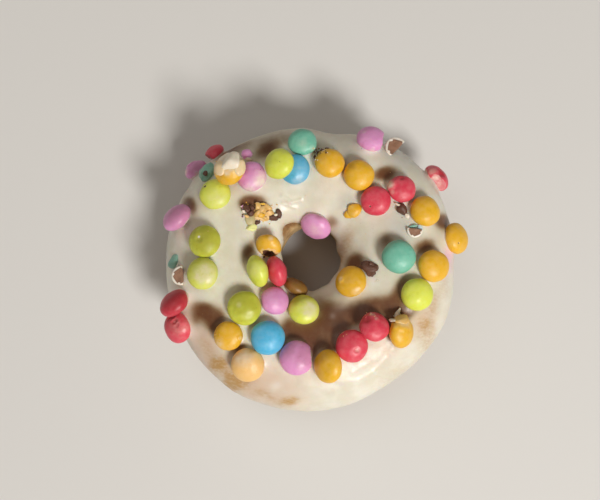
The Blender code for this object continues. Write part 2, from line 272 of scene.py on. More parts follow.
def cube_ball(cells):
    """Directions spread over a ball with no poles: six square grids blown up to a ball, and their quads."""
    step = np.tan(np.linspace(-1.0, 1.0, cells + 1) * math.pi / 4.0)
    a, b = np.meshgrid(step, step, indexing="ij")
    one = np.ones_like(a)
    sides = ((one, a, b), (-one, b, a), (b, one, a), (a, -one, b), (a, b, one), (b, a, -one))
    points = np.concatenate([np.stack(side, axis=-1).reshape(-1, 3) for side in sides])
    i, j = np.meshgrid(np.arange(cells), np.arange(cells), indexing="ij")
    corner = (i * (cells + 1) + j).ravel()
    quad = np.stack([corner, corner + cells + 1, corner + cells + 2, corner + 1], axis=-1)
    quads = np.concatenate([quad + side * (cells + 1) ** 2 for side in range(6)])
    _, first, merged = np.unique(np.round(points, 6), axis=0, return_index=True, return_inverse=True)
    return unit(points[first]), merged.ravel()[quads]


def grid_quads(rows, columns):
    """Quads of a grid of points kept row by row, closed round both ways."""
    i, j = np.meshgrid(np.arange(rows), np.arange(columns), indexing="ij")
    after, beside = (i + 1) % rows, (j + 1) % columns
    corners = [i * columns + j, after * columns + j, after * columns + beside, i * columns + beside]
    return np.stack(corners, axis=-1).reshape(-1, 4)


class Heap:
    """Shapes gathered into one piece: their points, quads and painted values."""

    def __init__(self, *paints):
        self.points, self.quads, self.count = [], [], 0
        self.paints = {name: [] for name in paints}

    def add(self, points, quads, **paints):
        self.points.append(points)
        self.quads.append(quads + self.count)
        self.count += len(points)
        for name, kept in self.paints.items():
            value = paints.get(name, 0.0)
            shape = (len(points), 3) if name in ("skin", "bleed") else (len(points),)
            kept.append(np.broadcast_to(np.asarray(value, dtype=float), shape))

    def build(self, name, material, slot):
        points = np.concatenate(self.points)
        mesh = bpy.data.meshes.new(name)
        mesh.from_pydata(points.tolist(), [], np.concatenate(self.quads).tolist())
        mesh.update()
        mesh.shade_smooth()
        for paint, values in self.paints.items():
            values = np.concatenate(values)
            if values.ndim == 2:
                kept = mesh.attributes.new(paint, "FLOAT_COLOR", "POINT")
                flat = np.concatenate([values, np.ones((len(values), 1))], axis=1).astype(np.float32)
                kept.data.foreach_set("color", flat.ravel())
            else:
                kept = mesh.attributes.new(paint, "FLOAT", "POINT")
                kept.data.foreach_set("value", values.astype(np.float32))
        mesh.materials.append(material)
        item = put(name, mesh)
        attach(item, "root")
        return item


# Materials.


class Value:
    """A socket of a material that Python's operators work on: each operator adds its Math node."""

    def __init__(self, finish, socket):
        self.finish = finish
        self.socket = socket

    def join(self, operation, first, second):
        return self.finish.node("ShaderNodeMath", {"operation": operation}, {0: first, 1: second})

    def __add__(self, other):
        return self.join("ADD", self, other)

    def __mul__(self, other):
        return self.join("MULTIPLY", self, other)

    def __sub__(self, other):
        return self.join("SUBTRACT", self, other)

    __radd__ = __add__
    __rmul__ = __mul__


class Finish:
    """A material being made. Constant values go straight onto the shader's sockets."""

    def __init__(self, name, **constants):
        self.material = bpy.data.materials.new(name)
        self.material.use_nodes = True
        self.tree = self.material.node_tree
        self.shader = self.tree.nodes["Principled BSDF"]
        self.wire(**constants)

    def node(self, kind, settings=None, inputs=None, output=0):
        """Any node: its kind, its settings, and the values or links of its sockets."""
        made = self.tree.nodes.new(kind)
        for key, value in (settings or {}).items():
            setattr(made, key, value)
        for key, value in (inputs or {}).items():
            self.plug(value, made.inputs[key])
        return Value(self, made.outputs[output])

    def plug(self, value, socket):
        if isinstance(value, Value):
            self.tree.links.new(value.socket, socket)
        elif socket.type == "RGBA" and len(value) == 3:
            socket.default_value = (*value, 1.0)
        else:
            socket.default_value = value

    def place(self):
        return self.node("ShaderNodeTexCoord", output="Object")

    def noise(self, size, detail=2.0, roughness=0.5, stretch=None):
        """Soft noise from 0 to 1 with features of about the given size in metres."""
        place = self.place()
        if stretch is not None:
            place = self.node("ShaderNodeMapping", None, {"Vector": place, "Scale": stretch})
        inputs = {"Vector": place, "Scale": 1.0 / size, "Detail": detail, "Roughness": roughness}
        return self.node("ShaderNodeTexNoise", None, inputs)

    def cells(self, size):
        """Distance to the nearest of many scattered spots, as a share of their spacing."""
        return self.node("ShaderNodeTexVoronoi", None, {"Vector": self.place(), "Scale": 1.0 / size})

    def paint(self, name, output="Fac"):
        return self.node("ShaderNodeAttribute", {"attribute_name": name}, output=output)

    def ramp(self, value, low, high):
        """0 at low and 1 at high, with soft ends."""
        inputs = {"Value": value, "From Min": low, "From Max": high}
        return self.node("ShaderNodeMapRange", {"interpolation_type": "SMOOTHSTEP"}, inputs)

    def blend(self, share, one, other, way="MIX"):
        """A colour that goes from one to the other as the share goes from 0 to 1."""
        settings = {"data_type": "RGBA", "blend_type": way}
        return self.node("ShaderNodeMix", settings, {0: share, 6: one, 7: other}, output=2)

    def over(self, share, colour):
        """Lay a colour over the base."""
        self.base = self.blend(share, self.base, colour)

    def relief(self, height, depth):
        """A bump whose full height is the given depth in metres."""
        return self.node("ShaderNodeBump", None, {"Height": height, "Distance": depth, "Strength": 1.0})

    def wire(self, **sockets):
        for name, value in sockets.items():
            self.plug(value, self.shader.inputs[name.replace("_", " ")])
        return self.material


def icing_finish():
    """Satin sugar icing: cream where it is thick, golden and then brown where the dough shows through and
    where shade is painted.
    """
    made = Finish("icing", IOR=SUGAR_IOR, Coat_Weight=0.16, Coat_Roughness=0.24)
    made.wire(Subsurface_Weight=0.45, Subsurface_Scale=2.6 * MM)
    made.shader.inputs["Subsurface Radius"].default_value = (1.0, 0.5, 0.25)
    cloud = made.noise(7 * MM, 4.0, 0.55)
    veins = made.noise(2.2 * MM, 3.0, 0.6)
    stir = (cloud - 0.5) * 0.5 + (veins - 0.5) * 0.35
    made.base = made.blend(made.ramp(cloud, 0.35, 0.7), ICING_PLAIN, ICING_CLOUDED)
    # Painted shade: grey on the upper right of the ring, which turns from the lamp.
    made.over(made.ramp(made.paint("cool") * (1.0 + stir), 0.0, 1.0), ICING_SHADE_GREY)
    made.over(made.ramp(made.paint("rosy") * (1.0 + stir * 2.0), 0.0, 1.1) * 0.85, ICING_ROSY)
    streaks = made.noise(1.6 * MM, 4.0, 0.65, (1.0, 2.4, 1.0))
    thin = made.paint("thin") * (1.0 + stir * 1.6 + (streaks - 0.5) * 1.8)
    made.over(made.ramp(thin, 0.0, 1.1), DOUGH_THROUGH)
    # Deep brown: the dough through the thinnest coat, and painted shade on slopes turned from the lamp,
    # behind beans and on the far rim.
    deep = made.paint("deep") * (1.0 + stir * 0.9)
    made.over(made.ramp(deep, 0.02, 0.85), DOUGH_AND_SHADE_MID)
    made.over(made.ramp(deep, 0.3, 1.1), DOUGH_AND_SHADE_DEEP)
    # White where the coat pools at the bean feet and patches, with one painted highlight glint.
    made.over(made.paint("milk"), ICING_MILK_AND_GLINT)
    made.over(made.paint("bleed_share"), made.paint("bleed", "Color"))
    speck = made.ramp(made.cells(1.3 * MM), 0.10, 0.05) * made.ramp(made.noise(4 * MM), 0.55, 0.65)
    made.over(speck * 0.5, ICING_SPECK)
    rough = 0.36 + made.ramp(veins, 0.35, 0.7) * 0.16
    height = made.noise(1.4 * MM, 3.0, 0.55) * 0.7 + made.noise(0.35 * MM, 2.0) * 0.12
    return made.wire(Base_Color=made.base, Roughness=rough, Normal=made.relief(height, 0.09 * MM))


def shell_finish(name, colour):
    """Sugar shell: matt satin with faint mottling and pits, filmed with icing, broken down to chocolate.

    With no colour given it reads each bit's own, kept as skin.
    """
    made = Finish(name, IOR=SUGAR_IOR, Coat_Weight=0.14, Coat_Roughness=0.38)
    made.wire(Subsurface_Weight=0.08, Subsurface_Scale=0.6 * MM)
    if colour is None:
        skin = made.paint("skin", "Color")
        pale = made.blend(PALE_BIT_SHARE, skin, SUGAR)
        dark = made.blend(1.0, skin, BIT_SHADE, "MULTIPLY")
    else:
        skin = colour
        pale = tuple((1.0 - PALE_SHARE) * part + PALE_SHARE * sugar for part, sugar in zip(colour, SUGAR))
        dark = tuple(part * shade for part, shade in zip(colour, BEAN_SHADE))
    mottle = made.noise(1.7 * MM, 4.0, 0.6)
    fine = made.noise(0.3 * MM, 3.0, 0.6)
    made.base = made.blend(made.ramp(mottle, 0.38, 0.72), skin, pale)
    # Dull marks darken the shell; on bean 19 this darkening is painted shade.
    made.over(made.ramp(mottle, 0.44, 0.22) * 0.3 + made.paint("dull"), dark)
    pits = made.ramp(made.cells(0.75 * MM), 0.16, 0.08) * made.ramp(made.noise(2.3 * MM), 0.48, 0.62)
    made.over(pits * 0.6, dark)
    grains = made.ramp(made.cells(0.42 * MM), 0.13, 0.05) * made.ramp(made.noise(1.9 * MM), 0.45, 0.65)
    made.over(grains * 0.3, SUGAR)
    film = made.ramp(made.paint("film") * (1.0 + (mottle - 0.5) * 1.2 + (fine - 0.5) * 0.4), 0.0, 1.5)
    made.over(film * 0.92, FILM)
    made.over(made.paint("sugar"), SUGAR)
    cocoa = made.blend(made.ramp(fine, 0.35, 0.75), CHOCOLATE, CHOCOLATE_PALE)
    core = made.ramp(made.paint("core"), 0.35, 0.65)
    made.over(core, made.blend(film * 0.5, cocoa, CHOCOLATE_MILK))
    rough = 0.40 + made.ramp(mottle, 0.4, 0.7) * 0.12 - film * 0.1 + core * 0.12
    height = made.noise(0.55 * MM, 3.0, 0.6) * 0.5 + fine * 0.25 - pits * 0.8 + grains * 0.4
    return made.wire(Base_Color=made.base, Roughness=rough, Normal=made.relief(height, 0.05 * MM))


def dough_finish():
    """Fried dough: golden brown with darker blisters, paler just under the icing, with a fine crumb."""
    made = Finish("fried_dough", Coat_Weight=0.12, Coat_Roughness=0.35)
    made.wire(Subsurface_Weight=0.08, Subsurface_Scale=2 * MM)
    broad = made.noise(9 * MM, 4.0, 0.6)
    middle = made.noise(2.4 * MM, 4.0, 0.6)
    fine = made.noise(0.6 * MM, 3.0, 0.6)
    made.base = made.blend(made.ramp(broad * 0.6 + middle * 0.4, 0.36, 0.62), CRUST_DARK, CRUST)
    made.over(made.ramp(middle, 0.52, 0.75) * 0.5, CRUST_PALE)
    made.over(made.ramp(made.paint("pale") + (middle - 0.5) * 0.6, 0.3, 0.9), CRUST_PALE)
    made.over(made.ramp(fine, 0.4, 0.2) * 0.35, CRUST_DARK)
    rough = 0.5 + made.ramp(middle, 0.3, 0.7) * 0.2
    height = middle * 0.6 + fine * 0.35 + made.noise(0.22 * MM, 2.0) * 0.15
    return made.wire(Base_Color=made.base, Roughness=rough, Normal=made.relief(height, 0.25 * MM))


# Beans.


@dataclass
class Bean:
    """A spheroid: its centre, its short axis, its radii across and through, and its colour."""

    centre: np.ndarray
    axis: np.ndarray
    radii: tuple
    colour: str
    name: str

    def turn(self):
        """Columns: two directions across the bean, and its short axis."""
        side = unit(np.cross(self.axis, (0.0, 0.0, 1.0) if abs(self.axis[2]) < 0.9 else (0.0, 1.0, 0.0)))
        return np.stack([side, np.cross(self.axis, side), self.axis], axis=1)

    def scale(self):
        return np.array([self.radii[0], self.radii[0], self.radii[1]])

    def depth_in(self, points):
        """Distance of points from the bean's surface, negative inside, from the slope of its equation."""
        local = (points - self.centre) @ self.turn() / self.scale()
        size = np.linalg.norm(local, axis=-1)
        slope = np.linalg.norm(local / self.scale(), axis=-1)
        return (size - 1.0) * size / np.maximum(slope, 1e-9)

    def under(self, ray_from, way):
        """Where a ray first meets the bean, or the nearest point that it passes."""
        turn, scale = self.turn(), self.scale()
        start = (ray_from - self.centre) @ turn / scale
        step = way @ turn / scale
        a, b, c = step @ step, 2.0 * start @ step, start @ start - 1.0
        root = b * b - 4.0 * a * c
        distance = (-b - math.sqrt(max(root, 0.0))) / (2.0 * a)
        return self.centre + turn @ (unit(start + distance * step) * scale)


FIT_UNIT = 5.0 * MM
FIT_ROUNDS = 6
LOOSE_ROUNDS = 2


def points_of(mesh):
    points = np.zeros(len(mesh.vertices) * 3)
    mesh.vertices.foreach_get("co", points)
    return points.reshape(-1, 3)


def bean_from_solid(name):
    """Fit a spheroid to the vertices of a bean's solid.

    A quadric is solved by least squares. Vertices inside it, at the cuts, are left out of the next fit.
    """
    points = np.unique(np.round(points_of(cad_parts[name].data), 7), axis=0)
    middle = points.mean(axis=0)
    local = (points - middle) / FIT_UNIT
    kept = np.ones(len(local), dtype=bool)
    for number in range(FIT_ROUNDS):
        x, y, z = local[kept].T
        terms = [x * x, y * y, z * z, 2 * x * y, 2 * x * z, 2 * y * z, 2 * x, 2 * y, 2 * z]
        found = np.linalg.lstsq(np.stack(terms, axis=1), np.ones(len(x)), rcond=None)[0]
        form = found[np.array([[0, 3, 4], [3, 1, 5], [4, 5, 2]])]
        centre = -np.linalg.solve(form, found[6:9])
        level = 1.0 + centre @ form @ centre
        away = np.einsum("ni,ij,nj->n", local - centre, form, local - centre) / level
        kept = away > 1.0 - 0.002 - (0.02 if number < LOOSE_ROUNDS else 0.0)
    values, vectors = np.linalg.eigh(form / level)
    radii = 1.0 / np.sqrt(np.abs(values)) * FIT_UNIT
    axis = vectors[:, 2] * np.sign(vectors[2, 2] or 1.0)
    radii = (float(radii[:2].mean()), float(radii[2]))
    return Bean(middle + centre * FIT_UNIT, axis, radii, name.split("_")[-1], name)


@dataclass
class Mark:
    """Something on a bean, centred where a pixel of the photo's frame shows it.

    number is the bean's, reach how far the mark spreads in mm, share how strong it is painted, and rise how
    high it stands in mm.
    """

    kind: str
    number: int
    at: tuple
    reach: float
    share: float = 1.0
    rise: float = 0.0


# The kinds are film of icing, dull darkening, plain dent, grain of sugar and bare core. On bean 19 the dull
# and core marks are painted shade.
MARKS = {
    "film": (
        (2, (190, 163), 2.4, 1, 0.35), (2, (199, 175), 2.2, 0.9, 0.3), (2, (186, 172), 2.2, 0.9, 0.1),
        (3, (229, 159), 6.6, 2, 0.35), (3, (218, 167), 3.4, 1.8, 0.3), (3, (243, 166), 3.2, 1.4, 0.3),
        (4, (261, 181), 4.6, 1.1, 0.1), (4, (251, 190), 4, 0.9, 0.1), (5, (218, 199), 6, 0.5),
        # Film on bean 10 near its lower right is partly a painted highlight on its lit face.
        (8, (205, 275), 6.5, 0.85, 0.1), (10, (183, 329), 3, 0.5, 0.15), (10, (178, 327), 6, 0.4),
        (11, (271, 238), 1.6, 0.7, 0.1), (12, (256, 270), 4.5, 0.45, 0.05),
        (14, (274, 304), 2.5, 0.3, 0.05), (15, (239, 305), 1.5, 0.5, 0.08), (16, (219, 344), 3, 0.6, 0.06),
        (16, (240, 338), 1.1, 0.7, 0.12), (16, (231, 347), 2, 0.35, 0.06), (18, (243, 356), 5, 0.9, 0.1),
        (20, (310, 309), 4.6, 0.9, 0.1), (21, (301, 368), 2.6, 0.35, 0.05), (23, (357, 350), 1.4, 0.55),
        (23, (342, 333), 1.4, 0.45, 0.05), (24, (372, 315), 1.5, 0.7, 0.12),
        (24, (376, 319), 1.1, 0.6, 0.1), (25, (402, 321), 3.8, 1, 0.2), (25, (395, 320), 2, 0.8, 0.3),
        (31, (386, 212), 1.4, 0.4, 0.05), (32, (390.5, 184.5), 2.3, 1.2, 0.4),
        (32, (392, 192), 1.5, 0.5, 0.1), (33, (432, 172), 2.2, 0.65, 0.3), (33, (436, 179), 2, 0.75, 0.35),
        # Film on bean 37 also paints the light and highlight on its lit face.
        (33, (439, 186), 1.6, 0.6, 0.2), (35, (314, 160), 1.2, 0.6, 0.1), (37, (299, 181), 3.4, 0.6),
        (37, (300, 170), 7, 0.3), (36, (303, 144), 3.2, 0.4, 0.05), (36, (312, 148), 1.6, 0.5, 0.1),
        (39, (364, 132), 1.3, 0.6, 0.05), (39, (372, 150), 1.6, 0.7, 0.1), (40, (315, 230), 4, 0.6, 0.05),
        (41, (341, 279), 1.3, 0.7, 0.2), (41, (357, 292), 2.4, 0.6, 0.12),
    ),
    "dull": (
        (2, (197, 168), 5, 0.6), (4, (243, 168), 2.6, 0.9), (5, (203, 186), 1.6, 0.5),
        (6, (177, 214), 8, 0.6), (7, (204, 240), 9), (8, (200, 266), 8, 0.6), (9, (173, 300), 9),
        (10, (172, 318), 2.4, 0.45), (10, (175.5, 324), 1.6, 0.35), (10, (168, 322), 5, 0.6),
        # Bean 19's dull marks paint the shade of the hole that it lies in.
        (15, (246, 306), 9, 0.95), (18, (238, 358), 2, 0.3), (19, (293, 286), 9), (19, (301, 291), 5, 0.8),
        (20, (297, 299), 3.4, 0.8), (21, (305, 356), 5, 0.55), (21, (287, 350), 4, 0.6),
        (23, (347, 338), 5, 0.3), (24, (367, 320), 2.6, 0.9), (32, (401, 176), 2.6, 0.9),
        (33, (442, 173), 2.2, 0.9), (33, (429, 181), 2, 0.6), (34, (352, 166), 1.8, 0.6),
        (35, (318, 153), 2.4, 0.9), (40, (320, 216), 2, 0.6),
    ),
    "dent": (
        (7, (199, 238), 1.6, 1, -0.3), (10, (171.5, 316), 2, 1, -0.75), (10, (174, 320.5), 1.6, 1, -0.65),
        (10, (176.5, 325), 1.2, 1, -0.4), (23, (356.5, 350), 1.2, 1, -0.2), (24, (367, 320), 1.3, 1, -0.15),
        (32, (401, 178), 1.1, 1, -0.25), (33, (441, 174), 1.5, 1, -0.55), (33, (434, 183), 0.9, 1, -0.35),
    ),
    "sugar": ((7, (198.6, 236.5), 0.45, 1, 0.05),),
    "core": (
        (5, (204.7, 186.3), 0.55, 0.7, -0.25), (7, (204, 240), 9, 0.42), (11, (268, 255), 2.6, 1, -1.2),
        # Bean 19's core mark is painted shade: chocolate brown laid over a bean lying in shadow.
        (19, (297, 285), 9, 0.53), (29, (458.5, 243), 0.4, 0.6, -0.2), (31, (370, 206.5), 0.38, 0.8, -0.2),
    ),
}

# Broken sides of beans, as in their solids: direction in degrees, distance from the middle in radii, and
# how much chocolate the broken face shows.
CHIPS = {1: (235.0, 0.5, 0.0), 21: (5.0, 0.8, 0.6), 33: (230.0, 0.75, 0.0), 39: (350.0, 0.7, 0.0)}
SHELL_WALL = 0.35 * MM
PAINTS = ("film", "sugar", "core", "dull")


def bean_shape(bean, ball, marks, chip, foot, camera):
    """Points and paints of one bean.

    The ball is scaled to the spheroid and given faint lumps. Each mark raises or sinks the part round its
    middle. A chip slides what lies beyond its plane back onto the plane, roughly, down to the chocolate.
    foot is a point of the icing below and the way out of it, for the film of icing that climbs the bean.
    """
    turn, scale = bean.turn(), bean.scale()
    normal = unit(ball / scale) @ turn.T
    round_points = bean.centre + (ball * scale) @ turn.T
    uneven = 0.13 * lumps(round_points, 4.2 * MM, 4) + 0.12 * lumps(round_points, 2.4 * MM, 5)
    points = round_points + normal * ((uneven + 0.035 * lumps(round_points, 1.0 * MM, 6)) * MM)[:, None]
    paint = {name: np.zeros(len(ball)) for name in PAINTS}

    def brush(name, share):
        paint[name] = np.maximum(paint[name], share)

    broad, fine = lumps(round_points, 1.1 * MM, 9) * 0.22, lumps(round_points, 0.5 * MM, 10) * 0.12
    raised, sunk = np.zeros(len(ball)), np.zeros(len(ball))
    for mark in marks:
        middle = bean.under(camera.place, camera.ray(mark.at))
        soft = mark.kind in ("film", "dull")
        wander = 0.6 * broad if soft else broad + fine
        away = np.linalg.norm(round_points - middle, axis=1) / (mark.reach * MM) + wander
        share = smooth(away, 1.0, 0.1) if soft else smooth(away, 1.0, 0.6)
        raised = np.maximum(raised, smooth(away, 1.0, 0.6) * mark.rise * MM)
        sunk = np.minimum(sunk, smooth(away, 1.0, 0.2) * mark.rise * MM)
        if mark.kind in paint:
            brush(mark.kind, share * mark.share)
        if mark.kind == "core":
            rim = smooth(away, 1.15, 0.95) * (1.0 - smooth(away, 0.9, 0.75))
            brush("sugar", rim * 0.3 * mark.share)
    crumbly = 0.5 * lumps(round_points, 1.6 * MM, 12) + 0.15 * lumps(round_points, 0.7 * MM, 13)
    points = points + normal * (raised * (1.0 + crumbly) + sunk)[:, None]
    if chip is not None:
        direction, distance, cocoa = chip
        outward = np.array([math.cos(math.radians(direction)), math.sin(math.radians(direction)), 0.0])
        outward -= bean.axis * (outward @ bean.axis)
        outward /= np.linalg.norm(outward)
        rough = 0.16 * lumps(round_points, 0.9 * MM, 21) + 0.1 * lumps(round_points, 0.35 * MM, 22)
        beyond = (points - bean.centre) @ outward - distance * bean.radii[0] - rough * MM
        points = points - outward * np.maximum(beyond, 0.0)[:, None]
        cut = smooth(beyond, 0.0, 0.12 * MM)
        brush("sugar", cut * (0.15 + 0.65 * cocoa))
        brush("dull", cut * 0.5)
        brush("core", cut * cocoa * smooth(bean.depth_in(points), -SHELL_WALL * 0.8, -SHELL_WALL * 1.2))
    spot, way = foot
    climb = (0.5 + 0.35 * lumps(round_points, 2.0 * MM, 31)) * MM
    brush("film", smooth((points - spot) @ way, climb + 0.35 * MM, climb - 0.25 * MM))
    return points, paint


# The icing and the dough.

ICING_ROUND = 560
ICING_ACROSS = 128
ICING_UNDER = 14
DOUGH_ROUND = 400
DOUGH_ACROSS = 110
# Lumps of the dough: height and size in mm, and seed. Then how far all of it lies inside its solid.
DOUGH_LUMPS = ((0.35, 11.0, 3), (0.2, 4.0, 4), (0.09, 1.5, 8))
DOUGH_SUNK = 0.25 * MM

# Patches of the icing by the photo's pixels: middle, half sizes, turn in degrees, and strength.
PATCHES = {
    # Golden where the dough shows through the icing.
    "thin": (
        ((218, 364), (10, 8), 30, 1.1), ((238, 381), (17, 9), 25, 1.2), ((228, 374), (7, 7), 60, 0.5),
        ((289, 401), (12, 5), 10, 0.8), ((262, 395), (14, 7), -15, 0.6), ((206, 347), (7, 12), 30, 0.5),
        ((425, 324), (12, 8), -40, 0.5), ((434, 304), (7, 18), -10, 0.5), ((446, 285), (7, 18), 0, 0.28),
        ((345, 246), (9, 24), -20, 0.5), ((385, 350), (20, 7), 20, 0.25), ((430, 345), (22, 12), -50, 0.45),
        ((395, 375), (30, 14), 30, 0.3),
    ),
    # Deep brown: dough under the thinnest coat, and painted shade on the hole's slopes, behind beans and on
    # the far rim.
    "deep": (
        ((378, 305), (28, 11), 4, 1), ((403, 292), (10, 17), -20, 0.85), ((334, 309), (20, 9), -8, 0.45),
        ((328, 327), (16, 18), -20, 1.2), ((304, 330), (16, 9), 0, 1.1), ((318, 300), (14, 10), 0, 0.35),
        ((291, 327), (14, 12), 20, 0.8), ((208, 312), (17, 9), -22, 1.2), ((196, 320), (8, 10), 0, 0.5),
        ((355, 261), (9, 12), -30, 0.9), ((343, 243), (6, 14), -25, 0.4), ((331, 222), (9, 8), 0, 0.7),
        ((250, 248), (6, 10), -30, 0.55), ((248, 256), (6, 8), 0, 0.3), ((251, 201), (13, 7), 8, 0.95),
        ((262, 204), (9, 6), -10, 0.4), ((246, 206), (7, 8), 0, 0.6), ((190, 206), (7, 10), 20, 1.1),
        ((268, 149), (17, 8), 30, 0.95), ((384, 173), (13, 7), 20, 1), ((442, 222), (8, 10), 40, 1),
        ((425, 246), (13, 8), 20, 0.8), ((385, 240), (9, 9), 30, 0.5), ((337, 161), (6, 6), 30, 0.6),
        ((394, 337), (7, 11), -10, 1), ((246, 288), (12, 10), 30, 0.3), ((214, 325), (9, 8), 20, 0.8),
        ((401, 316), (18, 7), 20, 0.9), ((240, 347), (8, 8), 0, 0.7), ((313, 345), (9, 10), 0, 0.8),
        ((357, 268), (8, 8), 0, 0.5), ((348, 320), (16, 8), 20, 0.9), ((332, 343), (9, 9), 0, 0.8),
        ((396, 310), (9, 7), 0, 0.5), ((230, 151), (20, 7), 25, 0.8), ((262, 138), (40, 7), 17, 0.35),
        ((325, 131), (34, 6), -3, 0.3), ((300, 400), (60, 6), 0, 0.1),
    ),
    # A rosy tan where the coat is a little thin.
    "rosy": (
        ((255, 383), (56, 28), -20, 1.15), ((206, 342), (15, 30), -25, 0.9),
        ((372, 358), (34, 14), 20, 0.6), ((420, 315), (22, 24), 0, 0.8), ((330, 190), (24, 18), 0, 0.4),
        ((240, 172), (24, 34), 30, 0.3),
    ),
    # Painted shade: greyer on the upper right of the ring, where it turns from the lamp.
    "cool": (
        ((404, 228), (24, 28), 0, 0.5), ((408, 160), (34, 17), -35, 0.5), ((349, 201), (15, 12), 0, 0.5),
        ((345, 150), (26, 12), 0, 0.4),
    ),
    # White where the coat has pooled or dried, and a painted highlight glint at (373, 281).
    "milk": (
        ((295, 187), (10, 3), 0, 0.7), ((370, 152), (9, 3), 10, 0.7), ((373, 281), (5, 3), -40, 0.6),
        ((420, 302), (10, 4), 20, 0.4), ((415, 258), (6, 5), 0, 0.3), ((342, 306), (8, 4), 20, 0.22),
        ((333, 316), (3, 3), 0, 0.15), ((276, 386), (6, 4), 10, 0.5), ((262, 398), (7, 4), -20, 0.3),
    ),
}
# Painted shadow behind each bean, on its side away from the lamp: where, from its middle, and how wide, in
# bean radii, and how deep a brown.
SHADOW_BEHIND_BEAN = (-0.6, 0.65, -0.5)
SHADOW_REACH = 0.85
SHADOW_SHARE = 0.34
# The pink that a bean left on the icing.
STAINS = (((448, 258), (6, 14), -5, 0.55, "pink"),)
# Low ridges of icing: two ends and a half width, in the photo's pixels, and a height in mm.
RIDGES = (
    ((338, 382), (358, 381), 2, 0.16), ((358, 381), (374, 372), 2, 0.2),
    ((374, 372), (388, 357), 2.2, 0.16), ((352, 372), (370, 362), 1.8, 0.12),
    ((282, 196), (291, 202), 1.8, 0.3), ((289, 203), (301, 200), 1.6, 0.25),
    ((283, 203), (296, 208), 1.8, 0.2), ((300, 385), (335, 390), 4, 0.25), ((395, 350), (430, 335), 4, 0.2),
    ((180, 345), (205, 372), 4, 0.2),
)


def icing_edges(angle):
    """Places along the section where the icing starts, at the rim, and stops, at the hole."""
    outer = ICING_OUTER_EDGE + waves(angle, ICING_EDGE_WAVES)
    centre, half_width, share = BARE_LIP
    inner = ICING_INNER_EDGE + 0.5 * waves(angle + 70.0, ICING_EDGE_WAVES)
    return outer, inner - share * bump(angle, centre, half_width)


def patch(x, y, row):
    """A turned ellipse of the frame that fades away evenly from its middle, as a bell curve does."""
    (middle_x, middle_y), (half_x, half_y), turn, strength = row
    cos, sin = math.cos(math.radians(turn)), math.sin(math.radians(turn))
    across, up = x - middle_x, middle_y - y
    away = np.hypot((across * cos + up * sin) / half_x, (up * cos - across * sin) / half_y)
    return strength * np.exp(-away * away)


def ridge(x, y, row):
    """A low bank along a straight line of the frame."""
    (x0, y0), (x1, y1), half_width, height = row
    length = math.hypot(x1 - x0, y1 - y0)
    along = np.clip(((x - x0) * (x1 - x0) + (y - y0) * (y1 - y0)) / length ** 2, 0.0, 1.0)
    away = np.hypot(x - x0 - along * (x1 - x0), y - y0 - along * (y1 - y0)) / half_width
    return height * MM * np.exp(-away * away)


